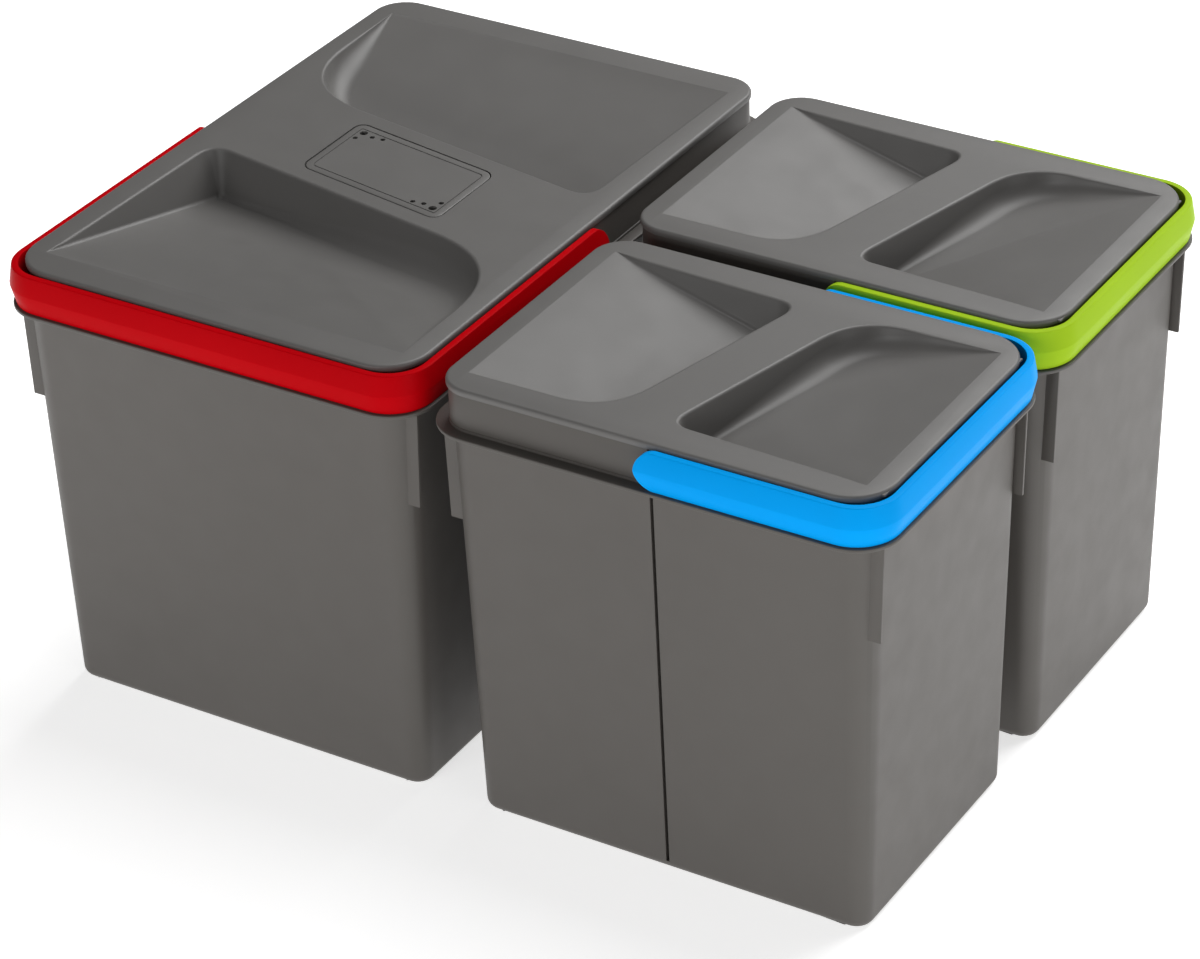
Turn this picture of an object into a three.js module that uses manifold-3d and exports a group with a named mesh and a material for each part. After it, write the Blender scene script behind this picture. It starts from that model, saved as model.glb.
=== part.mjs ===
// Recycling bin station: one large and two small lift-out bins standing side by side. Each bin is a
// drafted tub with a flange and a collar, a lid with two finger scoops either side of a slanted bridge,
// and a coloured bail handle that rests on the flange and swings up. The large lid also holds a carbon
// filter under a small cover. Millimetres, +Z up, origin on the floor at the middle of the footprint.

import * as THREE from 'three';
import { mergeVertices } from 'three/addons/utils/BufferGeometryUtils.js';
import Module from 'manifold-3d';

const wasm = await Module();
wasm.setup();

// Footprint: lid sizes, and the gap between neighbouring lids.
const LARGE_WIDTH = 232;
const LARGE_LENGTH = 344;
const SMALL_WIDTH = 163.5;
const SMALL_LENGTH = 232;
const LID_SPACING_X = 15;
const LID_SPACING_Y = 14;
const CORNER_RADIUS = 18;

// Heights from the floor.
const LID_TOP = 245;
const LID_EDGE = 3.5;
const GAP = 0.3;
const COLLAR_TOP = LID_TOP - LID_EDGE - GAP;
const FLANGE_TOP = 222;
const FLANGE_THICKNESS = 2;
const HANDLE_BOTTOM = FLANGE_TOP + GAP;
const HANDLE_TOP = LID_TOP - 2;
const PIVOT_HEIGHT = (HANDLE_BOTTOM + HANDLE_TOP) / 2;

// Insets from the lid's outline; negative ones stand outside it.
const WALL = 2.2;
const WALL_TOP_INSET = 3;
const WALL_FOOT_INSET = 8.6;
const FOOT_ROUNDING = 5;
const FLANGE_INSET = -5.5;
const COLLAR_INSET = 1;
const POCKET_INSET = 4;
const LID_NEAR_RADIUS = 24;
const SKIRT_INSET = 6.8;
const SKIRT_THICKNESS = 1.8;
const SKIRT_DEPTH = 8;
const HANDLE_INNER_INSET = -1.2;
const HANDLE_CREASE_INSET = -6.3;

// Handle pivot, on the handle's side of the bin's mid-length.
const PIVOT_OFFSET = 6.5;
const PIN_RADIUS = 3.5;
const PIN_HOLE_RADIUS = PIN_RADIUS + GAP;
const BOSS_RADIUS = 6;
const SHANK_LENGTH = 2.2;

// Lid plate, scoops and filter pocket.
const PLATE = 2.2;
const BASIN_WALL = 2;
const RAMP_SLOPE = 0.2;
const COVER_HALF_WIDTH = 46;
const COVER_HALF_LENGTH = 27;
const COVER_RADIUS = 6;
const COVER_THICKNESS = 2;
const COVER_CLEARANCE = 0.7;
const LEDGE = 3;
const FILTER_DEPTH = 11;

// Fins under the flange and the mid-length groove on the long walls.
const FIN_HEIGHT = 54;
const FIN_INSET = 10;
const FIN_ROOT = 5;
const FIN_THICKNESS = 1.6;
const FIN_REACH = 3.6;
const GROOVE_WIDTH = 1.8;
const GROOVE_DEPTH = 2.6;
const RIB_WIDTH = 6.4;
const RIB_DEPTH = 4.6;

// A scoop's outline in the bin's own frame, where the handle bar lies towards -Y. The bridge edge is the
// line y = bridge + slant * x, and the ramp leaves the lid's top at y = fade.
const LARGE_SCOOP = {
  left: -102, leftFlare: 3, right: 105, bridge: -37, slant: -0.18,
  leftCorner: 16, rightSweep: 52, fade: -154, front: -168, taperX: 0.07, taperY: 0.1,
};
const SMALL_SCOOP = {
  left: -63, leftFlare: 4, right: 66, bridge: -13.6, slant: -0.24,
  leftCorner: 14, rightSweep: 28, fade: -105, front: -113, taperX: 0.09, taperY: 0.1,
};

const CURVE_SEGMENTS = 5;
const TALL = 300;

// ---- solids -------------------------------------------------------------------------------------

// Turns a closed three.js geometry into a solid that can be cut and joined.
function solid(geometry) {
  const bare = geometry.clone();
  bare.deleteAttribute('normal');
  bare.deleteAttribute('uv');
  const merged = mergeVertices(bare, 1e-4);
  return new wasm.Manifold(new wasm.Mesh({
    numProp: 3,
    vertProperties: new Float32Array(merged.attributes.position.array),
    triVerts: new Uint32Array(merged.index.array),
  }));
}

// Turns a solid into a named mesh with its material.
function piece(name, body, material) {
  const { vertProperties, triVerts } = body.getMesh();
  const geometry = new THREE.BufferGeometry();
  geometry.setAttribute('position', new THREE.BufferAttribute(new Float32Array(vertProperties), 3));
  geometry.setIndex(new THREE.BufferAttribute(new Uint32Array(triVerts), 1));
  geometry.computeVertexNormals();
  const mesh = new THREE.Mesh(geometry, material);
  mesh.name = name;
  return mesh;
}

function box(x0, x1, y0, y1, z0, z1) {
  const geometry = new THREE.BoxGeometry(x1 - x0, y1 - y0, z1 - z0);
  geometry.translate((x0 + x1) / 2, (y0 + y1) / 2, (z0 + z1) / 2);
  return solid(geometry);
}

// A round bar along X between two places.
function barX(radius, x0, x1, y, z, segments = 16) {
  const geometry = new THREE.CylinderGeometry(radius, radius, Math.abs(x1 - x0), segments);
  geometry.rotateZ(Math.PI / 2);
  geometry.translate((x0 + x1) / 2, y, z);
  return solid(geometry);
}

function roundedRectangle(halfWidth, halfLength, radius, nearRadius = radius) {
  const shape = new THREE.Shape();
  shape.moveTo(-halfWidth + nearRadius, -halfLength);
  shape.lineTo(halfWidth - nearRadius, -halfLength);
  shape.absarc(halfWidth - nearRadius, -halfLength + nearRadius, nearRadius, -Math.PI / 2, 0);
  shape.absarc(halfWidth - radius, halfLength - radius, radius, 0, Math.PI / 2);
  shape.absarc(-halfWidth + radius, halfLength - radius, radius, Math.PI / 2, Math.PI);
  shape.absarc(-halfWidth + nearRadius, -halfLength + nearRadius, nearRadius, Math.PI, 1.5 * Math.PI);
  return shape;
}

// A solid whose cross-sections are rounded rectangles: each ring is [inset from the outline, height],
// and the corner radius shrinks with the inset so that walls keep an even thickness. The two corners
// towards -Y may have a radius of their own.
function stack(halfWidth, halfLength, radius, rings, nearRadius = radius) {
  const steps = rings.length - 1;
  const geometry = new THREE.ExtrudeGeometry(roundedRectangle(halfWidth, halfLength, radius, nearRadius), {
    depth: steps, steps, bevelEnabled: false, curveSegments: CURVE_SEGMENTS,
  });
  const position = geometry.attributes.position;
  for (let i = 0; i < position.count; i++) {
    const [inset, z] = rings[Math.round(position.getZ(i))];
    const x = position.getX(i);
    const y = position.getY(i);
    const round = y < 0 ? nearRadius : radius;
    const coreX = THREE.MathUtils.clamp(x, round - halfWidth, halfWidth - round);
    const coreY = THREE.MathUtils.clamp(y, round - halfLength, halfLength - round);
    const grow = 1 - inset / round;
    position.setXYZ(i, coreX + (x - coreX) * grow, coreY + (y - coreY) * grow, z);
  }
  return solid(geometry);
}

// ---- tub ----------------------------------------------------------------------------------------

// The outside of the tub's drafted wall, moved outwards by a skin thickness where one is given.
function wallRings(skin = 0) {
  return [
    [WALL_FOOT_INSET - skin, -1],
    [WALL_FOOT_INSET - skin, FOOT_ROUNDING],
    [WALL_TOP_INSET - skin, FLANGE_TOP - FLANGE_THICKNESS],
  ];
}

function tub({ halfWidth, halfLength, finsAlongLength }) {
  const ring = (rings) => stack(halfWidth, halfLength, CORNER_RADIUS, rings);
  const flangeUnder = FLANGE_TOP - FLANGE_THICKNESS;
  let body = ring([
    [WALL_FOOT_INSET + 0.75 * FOOT_ROUNDING, 0],
    [WALL_FOOT_INSET + 0.25 * FOOT_ROUNDING, 0.25 * FOOT_ROUNDING],
    [WALL_FOOT_INSET, FOOT_ROUNDING],
    [WALL_TOP_INSET, flangeUnder],
    [FLANGE_INSET + 0.6, flangeUnder],
    [FLANGE_INSET, flangeUnder + 0.6],
    [FLANGE_INSET, FLANGE_TOP],
    [COLLAR_INSET, FLANGE_TOP],
    [COLLAR_INSET, COLLAR_TOP],
  ]);

  // Fins at the four corners, on the short or on the long walls.
  for (const sideX of [-1, 1]) {
    for (const sideY of [-1, 1]) body = body.add(fin(halfWidth, halfLength, finsAlongLength, sideX, sideY));
  }

  // The hollow, wider in the collar's far half, and the pocket that takes the handle's arms.
  const inner = POCKET_INSET + WALL;
  const hollow = ring([
    [WALL_FOOT_INSET + WALL + 3, 2.5],
    [WALL_FOOT_INSET + WALL, 6],
    [WALL_TOP_INSET + WALL, flangeUnder],
    [inner, flangeUnder + 1],
    [inner, TALL],
  ]);
  const farHollow = ring([[COLLAR_INSET + WALL, FLANGE_TOP + 1], [COLLAR_INSET + WALL, TALL]])
    .intersect(box(-TALL, TALL, WALL, TALL, 0, TALL));
  const pocket = ring([[-10, FLANGE_TOP], [-10, TALL]])
    .subtract(ring([[POCKET_INSET, 0], [POCKET_INSET, TALL]]))
    .intersect(box(-TALL, TALL, -TALL, 0, 0, TALL));
  body = body.subtract(hollow).subtract(farHollow).subtract(pocket);

  // Mid-length grooves on both long walls, each backed by a rib inside.
  const band = (outer, inner, width) => ring(wallRings(outer)).subtract(ring(wallRings(inner)))
    .intersect(box(-TALL, TALL, -width / 2, width / 2, FOOT_ROUNDING, flangeUnder));
  body = body.add(band(-1, -RIB_DEPTH, RIB_WIDTH)).subtract(band(1, -GROOVE_DEPTH, GROOVE_WIDTH));

  for (const side of [-1, 1]) {
    const hole = barX(PIN_HOLE_RADIUS, side * (halfWidth - inner - 2), side * halfWidth,
      -PIVOT_OFFSET, PIVOT_HEIGHT);
    body = body.subtract(hole);
  }
  return body;
}

// One blade under the flange, flat sided, reaching out from the wall and a little shorter at its foot.
function fin(halfWidth, halfLength, alongLength, sideX, sideY) {
  const top = FLANGE_TOP - FLANGE_THICKNESS / 2;
  const half = alongLength ? halfLength : halfWidth;
  const root = half - WALL_TOP_INSET - FIN_ROOT;
  const profile = new THREE.Shape([
    new THREE.Vector2(root, top - FIN_HEIGHT),
    new THREE.Vector2(half - WALL_TOP_INSET + FIN_REACH - 1.6, top - FIN_HEIGHT),
    new THREE.Vector2(half - WALL_TOP_INSET + FIN_REACH, top),
    new THREE.Vector2(root, top),
  ]);
  const geometry = new THREE.ExtrudeGeometry(profile, { depth: FIN_THICKNESS, bevelEnabled: false });
  geometry.rotateX(Math.PI / 2);
  const place = (alongLength ? halfWidth : halfLength) - FIN_INSET;
  geometry.translate(0, place, 0);
  if (alongLength) geometry.rotateZ(Math.PI / 2);
  const blade = solid(geometry);
  const mirror = [sideX < 0 ? [1, 0, 0] : null, sideY < 0 ? [0, 1, 0] : null].filter(Boolean);
  const first = alongLength ? blade.mirror([1, 0, 0]) : blade;
  return mirror.reduce((shape, normal) => shape.mirror(normal), first);
}

// ---- lid ----------------------------------------------------------------------------------------

// The outline of a scoop, grown by a wall thickness where one is given.
function scoopShape(scoop, grow) {
  const left = scoop.left - grow;
  const right = scoop.right + grow;
  const bridge = (x) => scoop.bridge + grow + scoop.slant * x;
  const rise = scoop.leftCorner;
  const sweep = scoop.rightSweep;
  const shape = new THREE.Shape();
  shape.moveTo(left - scoop.leftFlare, scoop.front);
  shape.lineTo(right, scoop.front);
  shape.lineTo(right, bridge(right) - sweep);
  shape.quadraticCurveTo(right, bridge(right), right - sweep, bridge(right - sweep));
  shape.lineTo(left + rise, bridge(left + rise));
  shape.quadraticCurveTo(left, bridge(left), left, bridge(left) - rise);
  return shape;
}

// A scoop as a solid: straight down to the ramp, which falls away from the handle's side, with drafted
// walls, so the lower outline is drawn in towards the scoop's middle.
function scoopSolid(scoop, grow) {
  const geometry = new THREE.ExtrudeGeometry(scoopShape(scoop, grow), {
    depth: 1, bevelEnabled: false, curveSegments: 7,
  });
  const middleX = (scoop.left + scoop.right) / 2;
  const middleY = (scoop.bridge + scoop.front) / 2;
  const position = geometry.attributes.position;
  for (let i = 0; i < position.count; i++) {
    const lower = position.getZ(i) < 0.5;
    const x = position.getX(i) - (lower ? scoop.taperX * (position.getX(i) - middleX) : 0);
    const y = position.getY(i) - (lower ? scoop.taperY * (position.getY(i) - middleY) : 0);
    const floor = LID_TOP - grow - RAMP_SLOPE * (y - scoop.fade);
    position.setXYZ(i, x, y, lower ? floor : LID_TOP + 10);
  }
  return solid(geometry);
}

// The two scoops are the same shape turned half round.
function bothScoops(scoop, grow) {
  const one = scoopSolid(scoop, grow);
  return one.add(one.rotate([0, 0, 180]));
}

function lid({ halfWidth, halfLength, scoop }) {
  const ring = (rings) => stack(halfWidth, halfLength, CORNER_RADIUS, rings, LID_NEAR_RADIUS);
  const plateUnder = LID_TOP - LID_EDGE;
  const skirtInner = SKIRT_INSET + SKIRT_THICKNESS;
  const plate = ring([
    [0.6, plateUnder], [0, plateUnder + 0.6], [0, LID_TOP - 1.4], [0.6, LID_TOP - 0.5], [2, LID_TOP],
  ]);
  const skirt = ring([[SKIRT_INSET + 0.6, LID_TOP - SKIRT_DEPTH], [SKIRT_INSET, plateUnder + 1]]);
  const under = ring([[skirtInner, LID_TOP - SKIRT_DEPTH - 1], [skirtInner, LID_TOP - PLATE]]);
  const basins = bothScoops(scoop, BASIN_WALL).intersect(box(-TALL, TALL, -TALL, TALL, 0, LID_TOP - 1));
  return plate.add(skirt).subtract(under).add(basins).subtract(bothScoops(scoop, 0));
}

// ---- filter in the large lid --------------------------------------------------------------------

// A stack on the cover's outline, slanted to run along the bridge.
function coverStack(rings) {
  const upright = stack(COVER_HALF_WIDTH, COVER_HALF_LENGTH, COVER_RADIUS, rings);
  return upright.warp((point) => { point[1] += LARGE_SCOOP.slant * point[0]; });
}

const COVER_UNDER = LID_TOP - COVER_THICKNESS;
const LEDGE_TOP = COVER_UNDER - GAP;
const FILTER_TOP = LEDGE_TOP - 1.2;
const FILTER_UNDER = FILTER_TOP - FILTER_DEPTH;

// Cuts the cover's seat in the lid, and hangs the filter's tray with its slotted floor below it.
function addFilterTray(lidBody) {
  const trayFloor = FILTER_UNDER - GAP;
  const tray = coverStack([[-COVER_CLEARANCE - WALL, trayFloor - WALL], [-COVER_CLEARANCE - WALL, LID_TOP - 1]]);
  const seat = coverStack([[-COVER_CLEARANCE, LEDGE_TOP], [-COVER_CLEARANCE, TALL]]);
  const well = coverStack([[LEDGE, trayFloor], [LEDGE, TALL]]);
  let body = lidBody.add(tray).subtract(seat).subtract(well);
  const slotPitch = 16;
  for (const row of [-2, -1, 0, 1, 2]) {
    const slot = box(row * slotPitch - 4, row * slotPitch + 4, -16, 16, trayFloor - WALL - 1, trayFloor + 1);
    body = body.subtract(slot);
  }
  return body;
}

// Vent holes in two corners of the cover, the second group being the first turned half round.
function ventHoles() {
  const places = [[-38.2, 19.4, 2.2], [-39.2, 12.8, 1.4], [-31.6, 18.6, 1.4], [-25.4, 20.2, 1.4]];
  const holes = places.flatMap(([x, y, radius]) => [1, -1].map((turn) => {
    const geometry = new THREE.CylinderGeometry(radius, radius, 10, 12);
    geometry.rotateX(Math.PI / 2);
    geometry.translate(turn * x, turn * (y + LARGE_SCOOP.slant * x), LID_TOP);
    return solid(geometry);
  }));
  return holes.reduce((all, hole) => all.add(hole));
}

function filterCover() {
  const plate = coverStack([
    [0, COVER_UNDER], [0, LID_TOP - 0.5], [0.5, LID_TOP],
  ]);
  const border = coverStack([[4, LID_TOP - 0.5], [4, LID_TOP + 1]])
    .subtract(coverStack([[4.7, LID_TOP - 1], [4.7, LID_TOP + 2]]));
  return plate.subtract(border).subtract(ventHoles());
}

function carbonFilter() {
  return coverStack([[LEDGE + GAP, FILTER_UNDER], [LEDGE + GAP, FILTER_TOP]]);
}

// ---- handle -------------------------------------------------------------------------------------

// A bail round the handle's half of the bin: two arms with round ends and a bar, outer faces creased at
// mid-height, and a stepped boss on each arm that turns in the collar.
function handle({ halfWidth, halfLength }) {
  const ring = (rings) => stack(halfWidth, halfLength, CORNER_RADIUS, rings);
  const endRadius = (HANDLE_TOP - HANDLE_BOTTOM) / 2;
  const band = ring([
    [HANDLE_CREASE_INSET + 2.5, HANDLE_BOTTOM],
    [HANDLE_CREASE_INSET, PIVOT_HEIGHT],
    [HANDLE_CREASE_INSET + 1.6, HANDLE_TOP - 0.8],
    [HANDLE_CREASE_INSET + 2.2, HANDLE_TOP],
  ]).subtract(ring([[HANDLE_INNER_INSET, 0], [HANDLE_INNER_INSET, TALL]]));
  const reach = box(-TALL, TALL, -TALL, -PIVOT_OFFSET, 0, TALL)
    .add(barX(endRadius, -TALL, TALL, -PIVOT_OFFSET, PIVOT_HEIGHT, 32));
  let body = band.intersect(reach);
  for (const side of [-1, 1]) {
    const mouth = side * halfWidth;
    const bottom = side * (halfWidth - HANDLE_INNER_INSET + SHANK_LENGTH + GAP);
    body = body.subtract(barX(PIN_RADIUS + GAP, mouth, bottom, -PIVOT_OFFSET, PIVOT_HEIGHT));
  }
  return body;
}

// A stud between an arm and the collar: a shank in the arm's socket, a boss, and the pivot pin.
function stud({ halfWidth }, side) {
  const armFace = halfWidth - HANDLE_INNER_INSET;
  const root = side * (armFace + SHANK_LENGTH);
  const face = side * (armFace - GAP);
  const shoulder = side * (halfWidth - POCKET_INSET + GAP);
  const tip = side * (halfWidth - POCKET_INSET - WALL + GAP);
  return barX(BOSS_RADIUS, shoulder, face, -PIVOT_OFFSET, PIVOT_HEIGHT)
    .add(barX(PIN_RADIUS, tip, root, -PIVOT_OFFSET, PIVOT_HEIGHT));
}

// ---- station ------------------------------------------------------------------------------------

function plastic(color, roughness) {
  return new THREE.MeshStandardMaterial({ color, roughness, metalness: 0 });
}

const TUB_GREY = plastic(0x62605c, 0.55);
const LID_GREY = plastic(0x77756f, 0.5);
const COVER_GREY = plastic(0x7a7872, 0.45);
const CARBON_BLACK = plastic(0x1c1c1c, 0.95);
const RED = plastic(0xbe0a12, 0.25);
const BLUE = plastic(0x0a8ce6, 0.25);
const GREEN = plastic(0xa0d62c, 0.25);

// One bin with its lid and handle, in the bin's own frame with the handle's bar towards -Y.
function bin(prefix, size, handleMaterial) {
  const group = new THREE.Group();
  const lidBody = size.filter ? addFilterTray(lid(size)) : lid(size);
  group.add(piece(`${prefix}_bin`, tub(size), TUB_GREY));
  group.add(piece(`${prefix}_lid`, lidBody, LID_GREY));
  group.add(piece(`${prefix}_handle`, handle(size), handleMaterial));
  group.add(piece(`${prefix}_left_stud`, stud(size, -1), handleMaterial));
  group.add(piece(`${prefix}_right_stud`, stud(size, 1), handleMaterial));
  return group;
}

const largeSize = {
  halfWidth: LARGE_WIDTH / 2, halfLength: LARGE_LENGTH / 2, scoop: LARGE_SCOOP,
  finsAlongLength: false, filter: true,
};
const smallSize = {
  halfWidth: SMALL_WIDTH / 2, halfLength: SMALL_LENGTH / 2, scoop: SMALL_SCOOP,
  finsAlongLength: true, filter: false,
};

// The large bin's handle stands further out than its flange, so the bin sits back by half the difference.
const LARGE_X = -(SMALL_LENGTH + LID_SPACING_X) / 2;
const LARGE_Y = (FLANGE_INSET - HANDLE_CREASE_INSET) / 2;
const SMALL_X = (LARGE_WIDTH + LID_SPACING_X) / 2;
const SMALL_Y = (SMALL_WIDTH + LID_SPACING_Y) / 2;

const station = new THREE.Group();

const largeBin = bin('large', largeSize, RED);
largeBin.add(piece('filter_cover', filterCover(), COVER_GREY));
largeBin.add(piece('carbon_filter', carbonFilter(), CARBON_BLACK));
largeBin.position.set(LARGE_X, LARGE_Y, 0);
station.add(largeBin);

for (const [prefix, side, material] of [['front', -1, BLUE], ['rear', 1, GREEN]]) {
  const smallBin = bin(prefix, smallSize, material);
  smallBin.rotation.z = Math.PI / 2;
  smallBin.position.set(SMALL_X, side * SMALL_Y, 0);
  station.add(smallBin);
}

export default station;
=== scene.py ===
"""Three lidded recycling bins with coloured bail handles, built round their frame."""

import math

import bmesh
import bpy
from bpy.props import FloatProperty, FloatVectorProperty, PointerProperty
from mathutils import Matrix, Vector


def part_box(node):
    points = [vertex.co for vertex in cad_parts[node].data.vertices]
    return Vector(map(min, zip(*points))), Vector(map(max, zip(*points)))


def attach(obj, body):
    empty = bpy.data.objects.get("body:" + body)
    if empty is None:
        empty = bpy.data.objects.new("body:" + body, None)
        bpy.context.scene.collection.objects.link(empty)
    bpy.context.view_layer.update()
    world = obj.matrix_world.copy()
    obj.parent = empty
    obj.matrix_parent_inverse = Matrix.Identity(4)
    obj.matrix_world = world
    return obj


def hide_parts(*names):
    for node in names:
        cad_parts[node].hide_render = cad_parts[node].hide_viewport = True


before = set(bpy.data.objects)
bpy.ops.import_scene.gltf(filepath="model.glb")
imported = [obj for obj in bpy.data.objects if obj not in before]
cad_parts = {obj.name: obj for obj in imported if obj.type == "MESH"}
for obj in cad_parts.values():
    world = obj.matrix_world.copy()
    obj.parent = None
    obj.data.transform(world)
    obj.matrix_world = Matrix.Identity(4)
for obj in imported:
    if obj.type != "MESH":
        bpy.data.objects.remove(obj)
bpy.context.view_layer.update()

bl_info = {
    "name": "Recycling bin station",
    "version": (1, 0, 0),
    "blender": (4, 5, 0),
    "location": "3D View > Sidebar > Bins",
    "description": "Builds three lidded bins with bail handles, their filter and a studio",
    "category": "Add Mesh",
}

MM = 0.001
GAP = 0.3 * MM
REACH = 0.3
CORNER_SEGMENTS = 12

# Each bin's turn about Z from its own frame, where the handle's bar lies towards -Y.
TURNS = {"large": 0.0, "front": math.pi / 2, "rear": math.pi / 2}
HANDLE_SLOTS = {"large": "red_plastic", "front": "blue_plastic", "rear": "green_plastic"}


# ---- settings -----------------------------------------------------------------------------------

def length(name, description, millimetres):
    return FloatProperty(name=name, description=description, default=millimetres * MM, unit="LENGTH")


def colour(name, description, rgb):
    return FloatVectorProperty(
        name=name, description=description, default=rgb, subtype="COLOR", size=3, min=0.0, max=1.0)


class BinSizes(bpy.types.PropertyGroup):
    """Sizes shared by the mouldings. Outlines and heights come from the frame."""

    corner_radius: length("Corner radius", "Radius of a lid's corner seen from above", 18)
    wall: length("Wall", "Thickness of a moulded wall", 2.2)
    flange: length("Flange", "How far the flange stands out beyond the lid", 5.5)
    wall_top: length("Wall top inset", "Inset of the tub's wall from the lid, at the flange", 3)
    wall_foot: length("Wall foot inset", "Inset of the tub's wall from the lid, at the foot", 8.6)
    foot: length("Foot rounding", "Radius of the edge round the tub's base", 5)
    collar: length("Collar inset", "Inset of the collar from the lid's edge", 1)
    pocket: length("Pocket inset", "Inset of the collar where the handle's arms lie", 4)
    lid_near_radius: length("Near lid radius", "Radius of the lid's two corners inside the handle", 24)
    lid_edge: length("Lid edge", "Height of the lid's edge", 3.5)
    skirt: length("Skirt inset", "Inset of the skirt that centres the lid in the collar", 6.8)
    handle_gap: length("Handle gap", "Gap between the lid's edge and the handle", 1.2)
    pivot: length("Pivot offset", "Distance of the handle's pivot from the bin's mid-length", 6.5)
    groove: length("Groove", "Width of the groove in the long walls", 1.8)


class BinColours(bpy.types.PropertyGroup):
    """Base colours of the mouldings."""

    tub: colour("Tub", "Grey of the tubs", (0.090, 0.082, 0.074))
    lid: colour("Lid", "Grey of the lids", (0.132, 0.128, 0.123))
    cover: colour("Filter cover", "Grey of the filter cover", (0.138, 0.134, 0.129))
    carbon: colour("Carbon", "Black of the carbon felt", (0.010, 0.010, 0.011))
    red: colour("Large handle", "Red of the large bin's handle", (0.52, 0.0006, 0.004))
    blue: colour("Front handle", "Blue of the front bin's handle", (0.001, 0.37, 0.95))
    green: colour("Rear handle", "Green of the rear bin's handle", (0.38, 0.60, 0.020))


class BinStation(bpy.types.PropertyGroup):
    """Everything a user would change."""

    sizes: PointerProperty(type=BinSizes)
    colours: PointerProperty(type=BinColours)


# ---- what the frame says ------------------------------------------------------------------------

class Bin:
    """Outlines and heights of one bin, in its own frame, with its place in the row."""

    def __init__(self, prefix):
        lid_low, lid_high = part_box(f"{prefix}_lid")
        tub_low, tub_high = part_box(f"{prefix}_bin")
        handle_low, handle_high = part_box(f"{prefix}_handle")
        self.prefix = prefix
        self.turn = TURNS[prefix]
        self.centre = Vector(((lid_low.x + lid_high.x) / 2, (lid_low.y + lid_high.y) / 2, 0))
        half_x, half_y = (lid_high.x - lid_low.x) / 2, (lid_high.y - lid_low.y) / 2
        turned = abs(math.sin(self.turn)) > 0.5
        self.half_width, self.half_length = (half_y, half_x) if turned else (half_x, half_y)
        self.top = lid_high.z
        self.collar_top = tub_high.z
        self.handle_low, self.handle_high = handle_low.z, handle_high.z
        self.pivot_height = (handle_low.z + handle_high.z) / 2
        self.flange_top = handle_low.z - GAP
        self.scoop = LARGE_SCOOP if prefix == "large" else SMALL_SCOOP


class Scoop:
    """A finger scoop in the lid's handle half. The bridge edge is y = bridge + slant * x."""

    def __init__(self, left, left_flare, right, bridge, slant, left_corner, right_sweep, fade,
                 sweep_fillet):
        self.left, self.left_flare, self.right = left * MM, left_flare * MM, right * MM
        self.bridge, self.slant = bridge * MM, slant
        self.left_corner, self.right_sweep = left_corner * MM, right_sweep * MM
        self.fade, self.sweep_fillet = fade * MM, sweep_fillet * MM

    def edge(self, x):
        return self.bridge + self.slant * x


LARGE_SCOOP = Scoop(left=-102, left_flare=3, right=105, bridge=-37, slant=-0.18,
                    left_corner=16, right_sweep=52, fade=-154, sweep_fillet=12)
SMALL_SCOOP = Scoop(left=-63, left_flare=4, right=66, bridge=-13.6, slant=-0.24,
                    left_corner=14, right_sweep=28, fade=-105, sweep_fillet=10)
RAMP_SLOPE = 0.2
RIM_FILLET = 1.7 * MM
BASE_FILLET = 2.6 * MM
BACK_DRAFT = math.radians(9)
SIDE_DRAFT = math.radians(17)
RIM_STEP = 0.02 * MM


# ---- modelling helpers --------------------------------------------------------------------------

def deselect_all():
    if bpy.context.mode != "OBJECT":
        bpy.ops.object.mode_set(mode="OBJECT")
    bpy.ops.object.select_all(action="DESELECT")


def activate(piece):
    deselect_all()
    piece.select_set(True)
    bpy.context.view_layer.objects.active = piece


def edit(piece):
    activate(piece)
    bpy.ops.object.mode_set(mode="EDIT")


def select_where(kind, test):
    """Selects, in edit mode, the vertices, edges or faces that pass a test of their place."""
    mesh = bpy.context.edit_object.data
    bpy.context.tool_settings.mesh_select_mode = (kind == "VERT", kind == "EDGE", kind == "FACE")
    shape = bmesh.from_edit_mesh(mesh)
    for group in (shape.verts, shape.edges, shape.faces):
        for item in group:
            item.select = False
    items = {"VERT": shape.verts, "EDGE": shape.edges, "FACE": shape.faces}[kind]
    for item in items:
        if test(item):
            item.select_set(True)
    bmesh.update_edit_mesh(mesh)


def middle(edge):
    return (edge.verts[0].co + edge.verts[1].co) / 2


def block(name, half_width, half_length, low, high, slant=0.0):
    """A box on the middle of the bin's own frame, its sides slanted where a slant is given."""
    deselect_all()
    bpy.ops.mesh.primitive_cube_add(
        size=1, location=(0, 0, (low + high) / 2), scale=(2 * half_width, 2 * half_length, high - low))
    piece = bpy.context.active_object
    piece.name = piece.data.name = name
    bpy.ops.object.transform_apply(location=True, rotation=True, scale=True)
    if slant:
        edit(piece)
        for side in (-1, 1):
            select_where("VERT", lambda v: v.co.x * side > 0)
            bpy.ops.transform.translate(value=(0, side * slant * half_width, 0))
        bpy.ops.object.mode_set(mode="OBJECT")
    return piece


def rounded_block(name, half_width, half_length, low, high, radius, slant=0.0, near_radius=None):
    """A block with its four upright edges rounded, left in edit mode. The two towards -Y may differ."""
    piece = block(name, half_width, half_length, low, high, slant)
    edit(piece)
    for side, size in ((-1, near_radius or radius), (1, radius)):
        select_where("EDGE", lambda e: side * middle(e).y > 0.5 * half_length
                     and abs(e.verts[0].co.z - e.verts[1].co.z) > 0.9 * (high - low)
                     and abs(middle(e).x) > 0.9 * half_width)
        bpy.ops.mesh.bevel(offset=size, offset_type="OFFSET", segments=CORNER_SEGMENTS, affect="EDGES")
    return piece


def select_cap(upwards):
    """Selects the flat face at the very top or bottom of the piece being edited."""
    shape = bmesh.from_edit_mesh(bpy.context.edit_object.data)
    heights = [v.co.z for v in shape.verts]
    level = max(heights) if upwards else min(heights)
    select_where("FACE", lambda f: all(abs(v.co.z - level) < 1e-6 for v in f.verts))


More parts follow.
